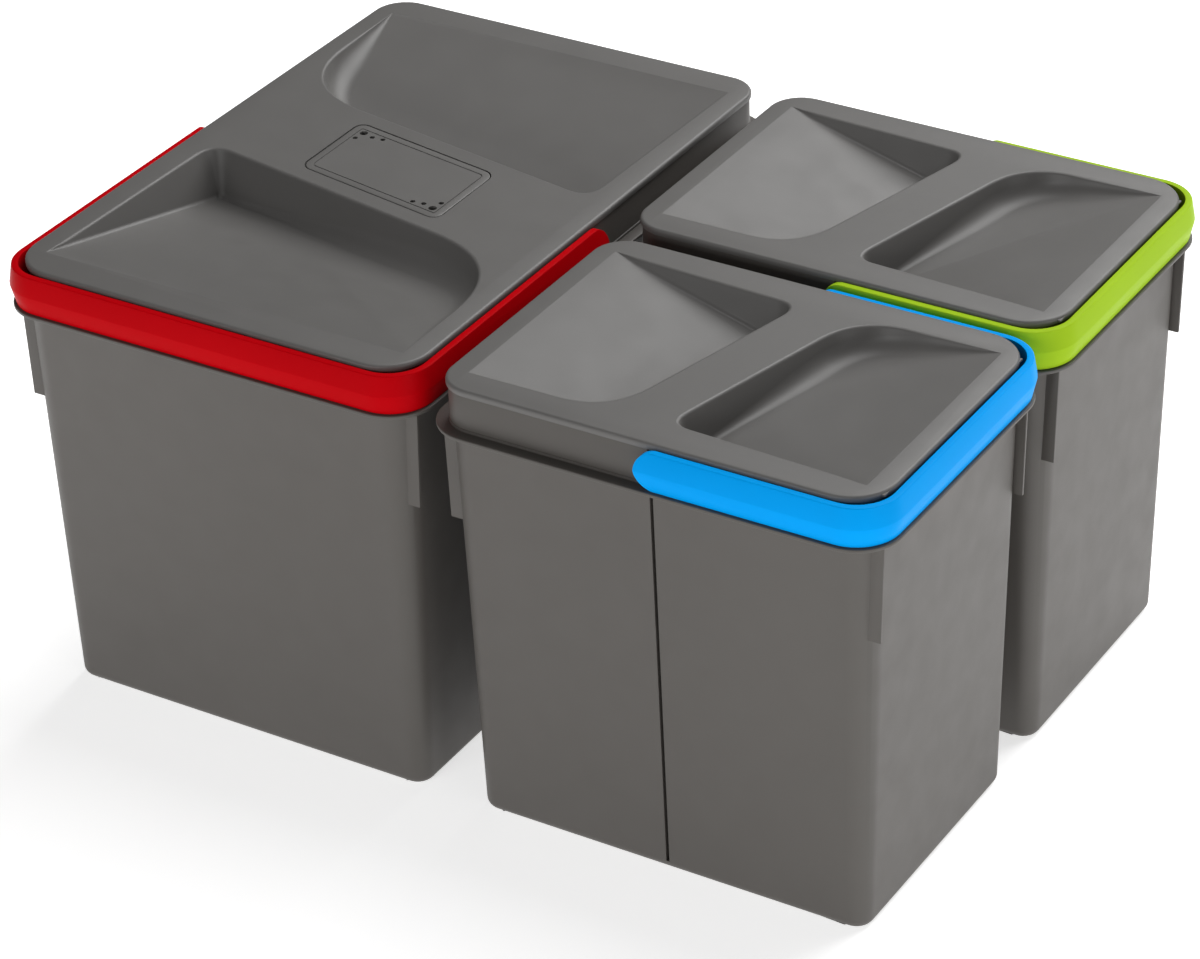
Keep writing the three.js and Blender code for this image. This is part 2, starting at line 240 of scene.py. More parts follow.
def step_cap(moves):
    """Draws the selected cap inwards and along its normal, once for each move in millimetres."""
    for inwards, along in moves:
        bpy.ops.mesh.inset(thickness=inwards * MM, depth=along * MM, use_even_offset=True)


def rounding(radius, count):
    """Moves that turn a wall into a flat cap round a convex edge."""
    angles = [math.pi / 2 * k / count for k in range(count + 1)]
    places = [(radius * (1 - math.cos(a)), radius * math.sin(a)) for a in angles]
    return [(b[0] - a[0], b[1] - a[1]) for a, b in zip(places, places[1:])]


def fillet(radius, count):
    """Moves that turn a flat cap into a wall round a concave corner."""
    return [(inwards, along) for inwards, along in reversed(rounding(radius, count))]


def finish_modelling():
    bpy.ops.object.mode_set(mode="OBJECT")


def combine(piece, other, operation="DIFFERENCE"):
    """Cuts, joins or intersects a piece with another solid, which is used up."""
    activate(piece)
    bpy.ops.object.modifier_add(type="BOOLEAN")
    modifier = piece.modifiers[-1]
    modifier.operation = operation
    modifier.solver = "MANIFOLD"
    modifier.object = other
    bpy.ops.object.modifier_apply(modifier=modifier.name)
    bpy.data.objects.remove(other, do_unlink=True)
    if not piece.data.polygons:
        raise RuntimeError(f"{piece.name} was left empty by {operation}")


def join(pieces):
    """One object made of several separate solids."""
    deselect_all()
    for piece in pieces:
        piece.select_set(True)
    bpy.context.view_layer.objects.active = pieces[0]
    bpy.ops.object.join()
    return pieces[0]


def bar(name, radius, start, end, segments=32):
    """A round bar between two points that share a height."""
    deselect_all()
    start, end = Vector(start), Vector(end)
    run = end - start
    bpy.ops.mesh.primitive_cylinder_add(
        vertices=segments, radius=radius, depth=run.length, location=(start + end) / 2,
        rotation=run.to_track_quat("Z", "Y").to_euler())
    piece = bpy.context.active_object
    piece.name = name
    bpy.ops.object.transform_apply(location=True, rotation=True, scale=True)
    return piece


def settle(piece, bin_, material, body, smooth_angle=32):
    """Places a finished piece in the row, shades it and hands it to the frame."""
    activate(piece)
    bpy.ops.object.mode_set(mode="EDIT")
    bpy.ops.mesh.select_all(action="SELECT")
    bpy.ops.mesh.remove_doubles(threshold=5e-6)
    bpy.ops.object.mode_set(mode="OBJECT")
    piece.data.transform(Matrix.Translation(bin_.centre) @ Matrix.Rotation(bin_.turn, 4, "Z"))
    bpy.ops.object.shade_smooth_by_angle(angle=math.radians(smooth_angle))
    piece.data.materials.clear()
    piece.data.materials.append(material)
    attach(piece, body)


# ---- materials ----------------------------------------------------------------------------------

class Nodes:
    """A material's node tree, built one node at a time."""

    def __init__(self, name):
        self.material = bpy.data.materials.new(name)
        self.material.use_nodes = True
        self.tree = self.material.node_tree
        self.tree.nodes.clear()
        output = self.tree.nodes.new("ShaderNodeOutputMaterial")
        self.shader = self.tree.nodes.new("ShaderNodeBsdfPrincipled")
        self.link(self.shader.outputs["BSDF"], output.inputs["Surface"])
        self.place = self.tree.nodes.new("ShaderNodeTexCoord").outputs["Object"]

    def link(self, source, target):
        self.tree.links.new(source, target)

    def noise(self, scale, detail=2.0, roughness=0.5):
        node = self.tree.nodes.new("ShaderNodeTexNoise")
        node.inputs["Scale"].default_value = scale
        node.inputs["Detail"].default_value = detail
        node.inputs["Roughness"].default_value = roughness
        self.link(self.place, node.inputs["Vector"])
        return node.outputs["Fac"]

    def spread(self, source, low, high):
        """Maps the middle of a noise to a range of values."""
        node = self.tree.nodes.new("ShaderNodeMapRange")
        node.inputs["From Min"].default_value = 0.3
        node.inputs["From Max"].default_value = 0.7
        node.inputs["To Min"].default_value = low
        node.inputs["To Max"].default_value = high
        self.link(source, node.inputs["Value"])
        return node.outputs["Result"]

    def mix(self, factor, first, second):
        node = self.tree.nodes.new("ShaderNodeMix")
        node.data_type = "RGBA"
        node.inputs["A"].default_value = (*first, 1)
        node.inputs["B"].default_value = (*second, 1)
        self.link(factor, node.inputs["Factor"])
        return node.outputs["Result"]

    def bump(self, height, strength, distance, under=None):
        node = self.tree.nodes.new("ShaderNodeBump")
        node.inputs["Strength"].default_value = strength
        node.inputs["Distance"].default_value = distance
        self.link(height, node.inputs["Height"])
        if under is not None:
            self.link(under, node.inputs["Normal"])
        return node.outputs["Normal"]


GRAIN_STRENGTH = 0.22


def tint(rgb, share):
    return tuple(min(1.0, c * share) for c in rgb)


def satin_plastic(name, rgb, roughness):
    """Fine-grained moulded polypropylene: a soft sheen, a fine spark texture and faint flow marks."""
    nodes = Nodes(name)
    flow = nodes.noise(9, 3)
    nodes.link(nodes.mix(nodes.spread(flow, 0, 1), tint(rgb, 0.97), tint(rgb, 1.03)),
               nodes.shader.inputs["Base Color"])
    nodes.link(nodes.spread(nodes.noise(60, 2), roughness - 0.03, roughness + 0.03),
               nodes.shader.inputs["Roughness"])
    spark = nodes.bump(nodes.noise(2600, 2), GRAIN_STRENGTH, 0.05 * MM)
    nodes.link(nodes.bump(nodes.noise(14, 1), 0.12, 0.25 * MM, spark), nodes.shader.inputs["Normal"])
    nodes.shader.inputs["IOR"].default_value = 1.49
    return nodes.material


def gloss_plastic(name, rgb):
    """Glossy dyed plastic with the slight unevenness of a moulded surface."""
    nodes = Nodes(name)
    nodes.link(nodes.mix(nodes.spread(nodes.noise(12, 2), 0, 1), tint(rgb, 0.97), tint(rgb, 1.03)),
               nodes.shader.inputs["Base Color"])
    nodes.link(nodes.spread(nodes.noise(40, 2), 0.30, 0.38), nodes.shader.inputs["Roughness"])
    nodes.link(nodes.bump(nodes.noise(55, 2), 0.10, 0.12 * MM), nodes.shader.inputs["Normal"])
    nodes.shader.inputs["Specular IOR Level"].default_value = 0.02
    nodes.shader.inputs["IOR"].default_value = 1.49
    return nodes.material


def carbon_felt(name, rgb):
    """Open felt loaded with carbon: matt, matted and lumpy."""
    nodes = Nodes(name)
    lumps = nodes.noise(700, 4, 0.7)
    nodes.link(nodes.mix(nodes.spread(lumps, 0, 1), tint(rgb, 0.6), tint(rgb, 3.0)),
               nodes.shader.inputs["Base Color"])
    nodes.link(nodes.bump(lumps, 0.9, 0.6 * MM), nodes.shader.inputs["Normal"])
    nodes.shader.inputs["Roughness"].default_value = 0.95
    return nodes.material


def material(slot):
    """The finish of a slot, made once. The frame already has a material with the slot's own name."""
    name = f"{slot}_finish"
    found = bpy.data.materials.get(name)
    if found:
        return found
    colours = bpy.context.scene.bin_station.colours
    makers = {
        "tub_plastic": lambda: satin_plastic(name, colours.tub, 0.50),
        "lid_plastic": lambda: satin_plastic(name, colours.lid, 0.46),
        "cover_plastic": lambda: satin_plastic(name, colours.cover, 0.44),
        "carbon_pad": lambda: carbon_felt(name, colours.carbon),
        "red_plastic": lambda: gloss_plastic(name, colours.red),
        "blue_plastic": lambda: gloss_plastic(name, colours.blue),
        "green_plastic": lambda: gloss_plastic(name, colours.green),
    }
    return makers[slot]()


# ---- tub ----------------------------------------------------------------------------------------

FLANGE_HALF_THICKNESS = 1.0
PLINTH_RISE = 1.5
PIN_HOLE_RADIUS = 3.8 * MM
FIN_HEIGHT = 54 * MM
FIN_INSET = 10 * MM
FIN_ROOT = 5 * MM
FIN_THICKNESS = 1.6 * MM
FIN_REACH = 3.6 * MM
GROOVE_DEPTH = 2.6 * MM
RIB_WIDTH = 6.4 * MM
RIB_DEPTH = 4.6 * MM


def tub_shell(bin_, sizes):
    """The tub grown from its flange: down to the foot, up to the collar, and back down inside."""
    radius = sizes.corner_radius + sizes.flange
    middle_height = bin_.flange_top - FLANGE_HALF_THICKNESS * MM
    piece = rounded_block(f"{bin_.prefix}_tub", bin_.half_width + sizes.flange,
                          bin_.half_length + sizes.flange, middle_height - 0.4 * MM,
                          middle_height + 0.4 * MM, radius)
    edge = rounding(0.6, 3)
    to_wall = (sizes.flange + sizes.wall_top) / MM - 0.6 - 0.8
    draft = (sizes.wall_foot - sizes.wall_top) / MM
    wall_height = (bin_.flange_top - sizes.foot) / MM - 2 * FLANGE_HALF_THICKNESS - 0.8
    select_cap(upwards=False)
    step_cap(edge + [(to_wall, 0)] + fillet(0.8, 3) + [(draft, wall_height)]
             + rounding(sizes.foot / MM, 6))
    step_cap([(6, 0), (0.5, -0.4)])

    to_plinth = (sizes.flange + sizes.collar) / MM - 0.6 - 0.4
    collar_rise = (bin_.collar_top - bin_.flange_top) / MM - PLINTH_RISE - 0.3
    rim = (sizes.pocket + sizes.wall - sizes.collar) / MM - 0.3
    inside = (bin_.collar_top - bin_.flange_top) / MM + 2
    floor = (bin_.flange_top - 2 * MM) / MM - 2.5 - 4
    taper = (sizes.wall_foot - sizes.pocket) / MM
    select_cap(upwards=True)
    step_cap(edge + [(to_plinth, 0), (0.1, PLINTH_RISE - 0.2), (0.3, 0.2), (0, collar_rise)]
             + rounding(0.3, 2) + [(rim, 0), (0, -inside), (taper, -floor)])
    step_cap([(inwards, -along) for inwards, along in rounding(4, 4)])
    finish_modelling()
    return piece


def handle_pocket(bin_, sizes):
    """The solid that clears the collar's handle half for the handle's arms."""
    def ring(inset, low, high):
        piece = rounded_block("ring", bin_.half_width - inset, bin_.half_length - inset, low, high,
                              sizes.corner_radius - inset)
        finish_modelling()
        return piece

    pocket = ring(-12 * MM, bin_.flange_top, REACH)
    combine(pocket, ring(sizes.pocket, 0, 2 * REACH))
    half = block("half", REACH, REACH / 2, 0, REACH * 3)
    half.data.transform(Matrix.Translation((0, -REACH / 2, 0)))
    combine(pocket, half, "INTERSECT")
    return pocket


def far_hollow(bin_, sizes):
    """The solid that thins the collar's far half from inside."""
    inset = sizes.collar + sizes.wall
    hollow = rounded_block("hollow", bin_.half_width - inset, bin_.half_length - inset,
                           bin_.flange_top + 1 * MM, REACH, sizes.corner_radius - inset)
    finish_modelling()
    half = block("half", REACH, REACH / 2, 0, REACH * 3)
    half.data.transform(Matrix.Translation((0, REACH / 2 + sizes.wall, 0)))
    combine(hollow, half, "INTERSECT")
    return hollow


def wall_slab(bin_, sizes, side, width, outer, inner):
    """A thin upright slab that follows the drafted long wall, between two depths from its face."""
    low, high = sizes.foot, bin_.flange_top - 2 * MM
    slab = block("slab", (inner - outer) / 2, width / 2, low, high)
    edit(slab)
    for height, inset in ((low, sizes.wall_foot), (high, sizes.wall_top)):
        select_where("VERT", lambda v: abs(v.co.z - height) < 1e-6)
        place = side * (bin_.half_width - inset - (inner + outer) / 2)
        bpy.ops.transform.translate(value=(place, 0, 0))
    finish_modelling()
    return slab


def fin(bin_, sizes, along_length, side_x, side_y):
    """A blade under the flange beside an upright corner, a little shorter in reach at its foot."""
    high = bin_.flange_top - 1 * MM
    low = high - FIN_HEIGHT
    half = bin_.half_length if along_length else bin_.half_width
    place = (bin_.half_width if along_length else bin_.half_length) - FIN_INSET
    root, tip = half - sizes.wall_top - FIN_ROOT, half - sizes.wall_top + FIN_REACH
    blade = block("fin", (tip - root) / 2, FIN_THICKNESS / 2, low, high)
    edit(blade)
    select_where("VERT", lambda v: v.co.x > 0 and v.co.z < (low + high) / 2)
    bpy.ops.transform.translate(value=(-1.6 * MM, 0, 0))
    select_where("EDGE", lambda e: middle(e).x > 0.5 * MM)
    bpy.ops.mesh.bevel(offset=0.3 * MM, segments=2, affect="EDGES")
    finish_modelling()
    blade.data.transform(Matrix.Translation(((root + tip) / 2, 0, 0)))
    blade.data.transform(Matrix.Rotation(math.pi if side_x < 0 else 0, 4, "Z"))
    if along_length:
        blade.data.transform(Matrix.Rotation(math.pi / 2, 4, "Z"))
        shift = (side_y * place, 0, 0)
    else:
        shift = (0, side_y * place, 0)
    blade.data.transform(Matrix.Translation(shift))
    return blade


def build_tub(bin_, sizes):
    piece = tub_shell(bin_, sizes)
    combine(piece, handle_pocket(bin_, sizes))
    combine(piece, far_hollow(bin_, sizes))
    for side in (-1, 1):
        combine(piece, wall_slab(bin_, sizes, side, RIB_WIDTH, 1.5 * MM, RIB_DEPTH), "UNION")
        combine(piece, wall_slab(bin_, sizes, side, sizes.groove, -2 * MM, GROOVE_DEPTH))
        hole = bar("hole", PIN_HOLE_RADIUS,
                   (side * (bin_.half_width - 9 * MM), -sizes.pivot, bin_.pivot_height),
                   (side * bin_.half_width, -sizes.pivot, bin_.pivot_height))
        combine(piece, hole)
        for end in (-1, 1):
            combine(piece, fin(bin_, sizes, bin_.prefix != "large", side, end), "UNION")
    settle(piece, bin_, material("tub_plastic"), f"{bin_.prefix}_bin")
    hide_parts(f"{bin_.prefix}_bin")


# ---- lid ----------------------------------------------------------------------------------------

def along_line(start, end, count):
    return [start.lerp(end, k / count) for k in range(count)]


def along_curve(start, control, end, count):
    """Points on a quadratic curve, without its last point."""
    points = []
    for k in range(count):
        t = k / count
        points.append((1 - t) ** 2 * start + 2 * t * (1 - t) * control + t * t * end)
    return points


def scoop_outline(scoop, grow):
    """The rim from its left end, along the bridge, to its right end, with the fillet at each point."""
    left, right = scoop.left - grow, scoop.right + grow
    fade = scoop.fade - grow / RAMP_SLOPE

    def edge(x):
        return scoop.edge(x) + grow

    front_left = Vector((left - scoop.left_flare, fade))
    left_end = Vector((left, edge(left) - scoop.left_corner))
    bridge_start = Vector((left + scoop.left_corner, edge(left + scoop.left_corner)))
    bridge_end = Vector((right - scoop.right_sweep, edge(right - scoop.right_sweep)))
    sweep_end = Vector((right, edge(right) - scoop.right_sweep))
    front_right = Vector((right, fade))
    points = along_line(front_left, left_end, 24)
    points += along_curve(left_end, Vector((left, edge(left))), bridge_start, 12)
    bridge_from = len(points)
    points += along_line(bridge_start, bridge_end, 14)
    bridge_to = len(points)
    points += along_curve(bridge_end, Vector((right, edge(right))), sweep_end, 22)
    points += along_line(sweep_end, front_right, 16) + [front_right]
    fillets = []
    for k in range(len(points)):
        share = min(1.0, max(0.0, (k - bridge_from) / (bridge_to - bridge_from)))
        share = share * share * (3 - 2 * share)
        fillets.append(BASE_FILLET + share * (scoop.sweep_fillet - BASE_FILLET))
    return points, fillets


def wall_profile(depth, draft, rim, base):
    """(inwards, down) along a scoop's wall: rim fillet, drafted wall, base fillet."""
    turn = math.pi / 2 - draft
    shrink = min(1.0, depth / ((rim + base) * (1 - math.cos(turn))))
    rim, base = rim * shrink, base * shrink
    profile = []
    for k in range(6):
        angle = turn * k / 5
        profile.append((rim * math.sin(angle), rim * (1 - math.cos(angle))))
    straight = max(0.0, depth - (rim + base) * (1 - math.cos(turn)))
    inwards = profile[-1][0] + straight * math.tan(draft)
    down = profile[-1][1] + straight
    for k in range(9):
        angle = turn * (1 - k / 8)
        profile.append((inwards + base * (math.sin(turn) - math.sin(angle)),
                        down + base * (math.cos(angle) - math.cos(turn))))
    return profile


def scoop_solid(scoop, top, grow):
    """The space of a scoop as a closed solid. Its floor is a ramp that meets the top at the fade line."""
    points, fillets = scoop_outline(scoop, grow)
    fade = scoop.fade - grow / RAMP_SLOPE
    rings = []
    for k, point in enumerate(points):
        before, after = points[max(k - 1, 0)], points[min(k + 1, len(points) - 1)]
        along = (after - before).normalized()
        inward = Vector((along.y, -along.x))
        draft = BACK_DRAFT + (SIDE_DRAFT - BACK_DRAFT) * abs(inward.x)
        depth = RAMP_SLOPE * (point.y - fade)
        for _ in range(6):
            profile = wall_profile(max(depth, 1e-7), draft, RIM_FILLET, fillets[k] + grow)
            end = point.y + inward.y * profile[-1][0]
            depth = max(0.0, RAMP_SLOPE * (end - fade))
        column = [(point.x, point.y, top + 5 * MM)]
        for inwards, down in wall_profile(max(depth, 1e-7), draft, RIM_FILLET, fillets[k] + grow):
            column.append((point.x + inward.x * inwards, point.y + inward.y * inwards,
                           top - RIM_STEP - down))
        rings.append(column)
    count, rows = len(rings), len(rings[0])
    vertices = [place for column in rings for place in column]

    def index(column, row):
        return column * rows + row

    faces = []
    for k in range(count - 1):
        for row in range(rows - 1):
            faces.append((index(k, row), index(k, row + 1),
                          index(k + 1, row + 1), index(k + 1, row)))
    faces.append([index(k, 0) for k in range(count)])
    faces.append([index(k, rows - 1) for k in reversed(range(count))])
    for row in range(rows - 1):
        faces.append((index(count - 1, row), index(count - 1, row + 1),
                      index(0, row + 1), index(0, row)))
    mesh = bpy.data.meshes.new("scoop")
    mesh.from_pydata(vertices, [], faces)
    piece = bpy.data.objects.new("scoop", mesh)
    bpy.context.scene.collection.objects.link(piece)
    edit(piece)
    bpy.ops.mesh.select_all(action="SELECT")
    bpy.ops.mesh.remove_doubles(threshold=2e-6)
    bpy.ops.mesh.normals_make_consistent(inside=False)
    finish_modelling()
    return piece


def half_turned(piece):
    """A copy of a piece turned half round the bin's upright axis."""
    twin = piece.copy()
    twin.data = piece.data.copy()
    bpy.context.scene.collection.objects.link(twin)
    twin.data.transform(Matrix.Rotation(math.pi, 4, "Z"))
    return twin


def lid_shell(bin_, sizes):
    """The lid's plate with its rounded edge, and the skirt below it."""
    low = bin_.top - sizes.lid_edge
    piece = rounded_block(f"{bin_.prefix}_cover_lid", bin_.half_width, bin_.half_length,
                          low + 0.5 * MM, bin_.top - 1.6 * MM, sizes.corner_radius,
                          near_radius=sizes.lid_near_radius)
    select_cap(upwards=True)
    step_cap(rounding(1.6, 5))
    skirt_drop = 4.5
    plate = 2.2
    select_cap(upwards=False)
    step_cap(rounding(0.5, 2) + [(sizes.skirt / MM - 0.5, 0), (0.3, skirt_drop), (1.5, 0),
                                 (0, -(skirt_drop + sizes.lid_edge / MM - plate))])
    finish_modelling()
    return piece


def build_lid(bin_, sizes):
    piece = lid_shell(bin_, sizes)
    basin = scoop_solid(bin_.scoop, bin_.top, 2 * MM)
    basin.data.transform(Matrix.Translation((0, 0, -2 * MM)))
    combine(basin, block("below", REACH, REACH, 0, bin_.top - 1.2 * MM), "INTERSECT")
    combine(piece, half_turned(basin), "UNION")
    combine(piece, basin, "UNION")
    if bin_.prefix == "large":
        add_filter_tray(piece, bin_, sizes)
    scoop = scoop_solid(bin_.scoop, bin_.top, 0)
    combine(piece, half_turned(scoop))
    combine(piece, scoop)
    settle(piece, bin_, material("lid_plastic"), f"{bin_.prefix}_lid")
    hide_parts(f"{bin_.prefix}_lid")


# ---- filter -------------------------------------------------------------------------------------

COVER_RADIUS = 6 * MM
COVER_CLEARANCE = 0.7 * MM
LEDGE = 3 * MM
COVER_SLANT = LARGE_SCOOP.slant
# One cluster of vent holes as (x, y, radius) in millimetres. The other is its half turn.
VENT_HOLES = ((-38.2, 19.4, 2.2), (-39.2, 12.8, 1.4), (-31.6, 18.6, 1.4), (-25.4, 20.2, 1.4))
TRAY_SLOT_PITCH = 16 * MM


def cover_half_sizes():
    """Half sizes of the cover before its slant, from its box."""
    low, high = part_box("filter_cover")
    half_width = (high.x - low.x) / 2
    rise = abs(COVER_SLANT) * (half_width - COVER_RADIUS)
    return half_width, (high.y - low.y) / 2 - rise


def cover_block(name, inset, low, high):
    half_width, half_length = cover_half_sizes()
    return rounded_block(name, half_width - inset, half_length - inset, low, high,
                         COVER_RADIUS - inset, COVER_SLANT)


def add_filter_tray(piece, bin_, sizes):
    """The cover's seat in the bridge and the slotted tray for the carbon pad below it."""
    cover_low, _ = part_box("filter_cover")
    pad_low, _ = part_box("carbon_filter")
    floor = pad_low.z - GAP
    for inset, low, high, operation in (
            (-COVER_CLEARANCE - sizes.wall, floor - sizes.wall, bin_.top - 1 * MM, "UNION"),
            (-COVER_CLEARANCE, cover_low.z - GAP, REACH, "DIFFERENCE"),
            (LEDGE, floor, REACH, "DIFFERENCE")):
        tool = cover_block("tool", inset, low, high)
        finish_modelling()
        combine(piece, tool, operation)
    for row in (-2, -1, 0, 1, 2):
        slot = block("slot", 4 * MM, 16 * MM, floor - 4 * MM, floor + 1 * MM)
        slot.data.transform(Matrix.Translation((row * TRAY_SLOT_PITCH, 0, 0)))
        combine(piece, slot)


def build_cover(bin_):
    """The filter's cover: a thin plate with a fine border line and two clusters of vent holes."""
    low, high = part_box("filter_cover")
    piece = cover_block("filter_lid", 0, low.z, high.z - 0.5 * MM)
    select_cap(upwards=True)
    step_cap(rounding(0.5, 3) + [(3.4, 0), (0.12, -0.45), (0.45, 0), (0.12, 0.45)])
    finish_modelling()
    holes = []
    for x, y, radius in VENT_HOLES:
        for turn in (-1, 1):
            place = Vector((turn * x * MM, turn * (y + COVER_SLANT * x) * MM, 0))
            holes.append(bar("hole", radius * MM, place + Vector((0, 0, low.z - 1 * MM)),
                             place + Vector((0, 0, high.z + 1 * MM)), 24))
    combine(piece, join(holes))
    settle(piece, bin_, material("cover_plastic"), "filter_cover")
    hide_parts("filter_cover")


def build_pad(bin_):
    """The pad of carbon felt in the tray, its upper edge worn round."""
    low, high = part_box("carbon_filter")
    piece = cover_block("carbon_pad", LEDGE + GAP, low.z, high.z - 1.2 * MM)
    select_cap(upwards=True)
    step_cap(rounding(1.2, 4))
    finish_modelling()
    settle(piece, bin_, material("carbon_pad"), "filter_cover")
    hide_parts("carbon_filter")


# ---- handle -------------------------------------------------------------------------------------

PIN_RADIUS = 3.5 * MM
BOSS_RADIUS = 6 * MM
SHANK_LENGTH = 2.2 * MM
EDGE_ROUNDING = 0.45 * MM


def build_handle(bin_, sizes):
    """The bail: a creased band round the handle half, with round ends and a socket for each pivot stud.
    """
    low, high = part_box(f"{bin_.prefix}_handle")
    crease = (high.y - low.y) / 2 - bin_.half_width if bin_.prefix != "large" else \
        (high.x - low.x) / 2 - bin_.half_width
    half_height = (bin_.handle_high - bin_.handle_low) / 2
    piece = rounded_block(f"{bin_.prefix}_bail", bin_.half_width + crease, bin_.half_length + crease,
                          bin_.pivot_height - 0.3 * MM, bin_.pivot_height + 0.3 * MM,
                          sizes.corner_radius + crease)
    rise = half_height / MM - 0.3
    inner = (crease - sizes.handle_gap) / MM
    select_cap(upwards=True)
    step_cap([(1.6, rise - 0.7)] + rounding(0.7, 3) + [(inner - 2.3, 0)])
    bpy.ops.mesh.delete(type="ONLY_FACE")
    select_cap(upwards=False)
    step_cap([(2.2, rise - 0.4)] + rounding(0.4, 2) + [(inner - 2.6, 0)])
    bpy.ops.mesh.delete(type="ONLY_FACE")
    select_where("EDGE", lambda e: e.is_boundary)
    bpy.ops.mesh.bridge_edge_loops()
    bpy.ops.mesh.select_all(action="SELECT")
    bpy.ops.mesh.normals_make_consistent(inside=False)
    finish_modelling()

    reach = block("reach", REACH, REACH / 2, 0, REACH * 3)
    reach.data.transform(Matrix.Translation((0, -REACH / 2 - sizes.pivot, 0)))
    nose = bar("nose", half_height, (-REACH, -sizes.pivot, bin_.pivot_height),
               (REACH, -sizes.pivot, bin_.pivot_height), 96)
    combine(reach, nose, "UNION")
    combine(piece, reach, "INTERSECT")
    activate(piece)
    bpy.ops.object.modifier_add(type="BEVEL")
    bevel = piece.modifiers[-1]
    bevel.limit_method = "ANGLE"
    bevel.angle_limit = math.radians(50)
    bevel.width = EDGE_ROUNDING
    bevel.segments = 3
    bpy.ops.object.modifier_apply(modifier=bevel.name)
    for side in (-1, 1):
        combine(piece, pivot_bar(bin_, sizes, side, PIN_RADIUS + GAP, 0,
                                 -sizes.handle_gap - SHANK_LENGTH - GAP))
    slot = HANDLE_SLOTS[bin_.prefix]
    settle(piece, bin_, material(slot), f"{bin_.prefix}_handle", smooth_angle=20)
    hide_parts(f"{bin_.prefix}_handle")


def pivot_bar(bin_, sizes, side, radius, start, end):
    """A bar along one of the handle's pivots between two insets from the lid's edge."""
    return bar("pivot", radius, (side * (bin_.half_width - start), -sizes.pivot, bin_.pivot_height),
               (side * (bin_.half_width - end), -sizes.pivot, bin_.pivot_height), 48)


def build_studs(bin_, sizes):
    """The two pivot studs: a shank in the arm's socket, a boss, and a pin with a chamfered tip."""
    for side, word in ((-1, "left"), (1, "right")):
        shoulder = sizes.pocket - GAP
        tip = shoulder + sizes.wall
        piece = pivot_bar(bin_, sizes, side, PIN_RADIUS, -sizes.handle_gap - SHANK_LENGTH, tip)
        boss = pivot_bar(bin_, sizes, side, BOSS_RADIUS, -sizes.handle_gap + GAP, shoulder)
        combine(piece, boss, "UNION")
        piece.name = f"{bin_.prefix}_{word}_pivot_stud"
        edit(piece)
        face = side * (bin_.half_width - tip)
        select_where("EDGE", lambda e: all(abs(v.co.x - face) < 0.01 * MM for v in e.verts))
        bpy.ops.mesh.bevel(offset=0.4 * MM, segments=2, affect="EDGES")
        finish_modelling()
        slot = HANDLE_SLOTS[bin_.prefix]
        settle(piece, bin_, material(slot), f"{bin_.prefix}_handle")
        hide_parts(f"{bin_.prefix}_{word}_stud")


# ---- stage --------------------------------------------------------------------------------------

CAMERA_PLACE = Vector((0.976, -1.562, 1.228))
CAMERA_AZIMUTH = math.radians(30.92)
CAMERA_ELEVATION = math.radians(31.54)
CAMERA_ROLL = math.radians(-1.44)
CAMERA_LENS = 126.8
CAMERA_SHIFT = (-0.0692, -0.0021)


FLOOR_GLOW = 0.65
WORLD_STRENGTH = 0.10
# Name, place, target, size and power of each softbox.
SOFTBOXES = (
    ("back", (0.4, 2.1, 1.9), (0.1, 0, 0.1), (2.4, 1.5), 48),
    ("top", (0.2, 0.8, 2.3), (0.15, 0, 0.1), (1.4, 1.4), 24),
    ("side", (2.8, -0.8, 0.35), (0.2, 0, 0.12), (1.6, 0.6), 14),
    ("front", (-0.3, -2.8, 1.0), (0, -0.4, 0.05), (2.0, 0.8), 22),
)


def build_floor():
    deselect_all()
    bpy.ops.mesh.primitive_plane_add(size=12, location=(0, 0, 0))
    floor = bpy.context.active_object
    floor.name = "studio_floor"
    nodes = Nodes("studio_white")
    nodes.shader.inputs["Base Color"].default_value = (0.93, 0.93, 0.93, 1)
    nodes.shader.inputs["Emission Color"].default_value = (1, 1, 1, 1)
    nodes.shader.inputs["Emission Strength"].default_value = FLOOR_GLOW
    nodes.shader.inputs["Roughness"].default_value = 0.7
    floor.data.materials.append(nodes.material)


def add_softbox(name, place, target, size, power):
    light = bpy.data.lights.new(name, "AREA")
    light.shape = "RECTANGLE"
    light.size, light.size_y = size
    light.energy = power
    lamp = bpy.data.objects.new(name, light)
    bpy.context.scene.collection.objects.link(lamp)
    lamp.location = place
    lamp.rotation_euler = (Vector(target) - Vector(place)).to_track_quat("-Z", "Y").to_euler()


def build_camera():
    camera = bpy.data.objects.new("camera", bpy.data.cameras.new("camera"))
    bpy.context.scene.collection.objects.link(camera)
    azimuth = Matrix.Rotation(CAMERA_AZIMUTH, 4, "Z")
    level = azimuth @ Matrix.Rotation(math.pi / 2 - CAMERA_ELEVATION, 4, "X")
    roll = Matrix.Rotation(CAMERA_ROLL, 4, "Z")
    camera.matrix_world = Matrix.Translation(CAMERA_PLACE) @ level @ roll
    camera.data.lens = CAMERA_LENS
    camera.data.shift_x, camera.data.shift_y = CAMERA_SHIFT
    camera.data.clip_end = 50
    bpy.context.scene.camera = camera


def build_world():
    world = bpy.data.worlds.new("studio")
    world.use_nodes = True
    background = world.node_tree.nodes["Background"]
    background.inputs["Color"].default_value = (1, 1, 1, 1)
    background.inputs["Strength"].default_value = WORLD_STRENGTH
    bpy.context.scene.world = world
    bpy.context.scene.view_settings.view_transform = "Standard"


# ---- operators ----------------------------------------------------------------------------------

class BuildOperator(bpy.types.Operator):
    """Shared by the operators that build pieces."""

    bl_options = {"REGISTER", "UNDO"}

    def bins(self):
        return [Bin(prefix) for prefix in TURNS]


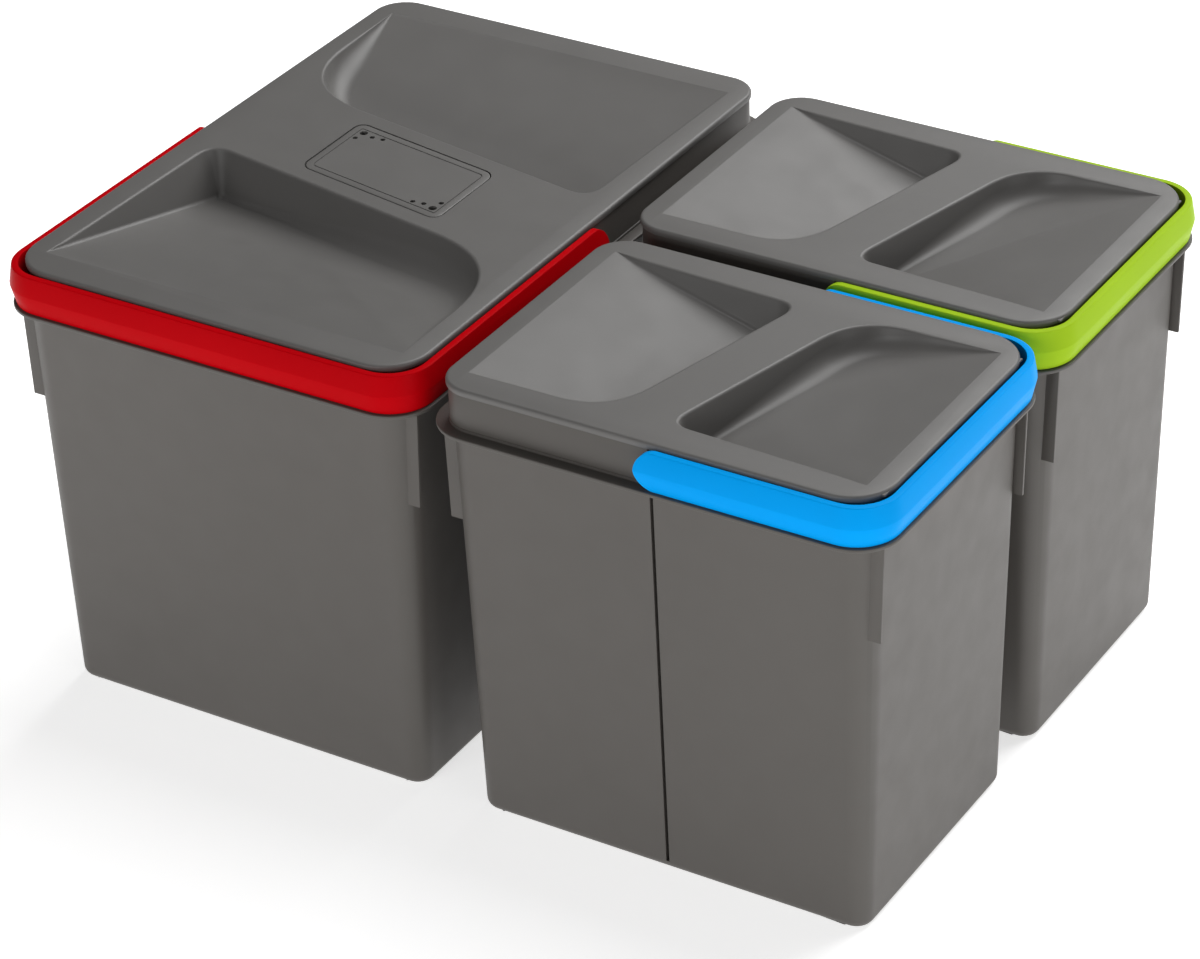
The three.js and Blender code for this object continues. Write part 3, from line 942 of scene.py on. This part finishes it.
class BINS_OT_tubs(BuildOperator):
    """Build the three tubs with their flanges, collars, fins and grooves"""

    bl_idname = "bins.tubs"
    bl_label = "Tubs"

    def execute(self, context):
        for bin_ in self.bins():
            build_tub(bin_, context.scene.bin_station.sizes)
        return {"FINISHED"}


class BINS_OT_lids(BuildOperator):
    """Build the three lids with their finger scoops and the filter tray"""

    bl_idname = "bins.lids"
    bl_label = "Lids"

    def execute(self, context):
        for bin_ in self.bins():
            build_lid(bin_, context.scene.bin_station.sizes)
        return {"FINISHED"}


class BINS_OT_filter(BuildOperator):
    """Build the filter cover and the carbon pad in the large lid"""

    bl_idname = "bins.filter"
    bl_label = "Filter"

    def execute(self, context):
        large = Bin("large")
        build_cover(large)
        build_pad(large)
        return {"FINISHED"}


class BINS_OT_handles(BuildOperator):
    """Build the three coloured bail handles"""

    bl_idname = "bins.handles"
    bl_label = "Handles"

    def execute(self, context):
        for bin_ in self.bins():
            build_handle(bin_, context.scene.bin_station.sizes)
            build_studs(bin_, context.scene.bin_station.sizes)
        return {"FINISHED"}


class BINS_OT_stage(bpy.types.Operator):
    """Build the floor, the lights, the world and the camera"""

    bl_idname = "bins.stage"
    bl_label = "Studio"

    def execute(self, context):
        build_floor()
        for softbox in SOFTBOXES:
            add_softbox(*softbox)
        build_camera()
        build_world()
        return {"FINISHED"}


class BINS_PT_station(bpy.types.Panel):
    """The operators and settings in the sidebar"""

    bl_idname = "BINS_PT_station"
    bl_label = "Recycling bin station"
    bl_space_type = "VIEW_3D"
    bl_region_type = "UI"
    bl_category = "Bins"

    def draw(self, context):
        station = context.scene.bin_station
        for operator in (BINS_OT_tubs, BINS_OT_lids, BINS_OT_filter, BINS_OT_handles, BINS_OT_stage):
            self.layout.operator(operator.bl_idname)
        for group in (station.sizes, station.colours):
            column = self.layout.column()
            for name in group.__annotations__:
                column.prop(group, name)


CLASSES = (BinSizes, BinColours, BinStation, BINS_OT_tubs, BINS_OT_lids, BINS_OT_filter,
           BINS_OT_handles, BINS_OT_stage, BINS_PT_station)


def register():
    for cls in CLASSES:
        bpy.utils.register_class(cls)
    bpy.types.Scene.bin_station = PointerProperty(type=BinStation)


def unregister():
    del bpy.types.Scene.bin_station
    for cls in reversed(CLASSES):
        bpy.utils.unregister_class(cls)


def main():
    register()
    bpy.ops.bins.stage()
    bpy.ops.bins.tubs()
    bpy.ops.bins.lids()
    bpy.ops.bins.filter()
    bpy.ops.bins.handles()


if __name__ == "__main__":
    main()
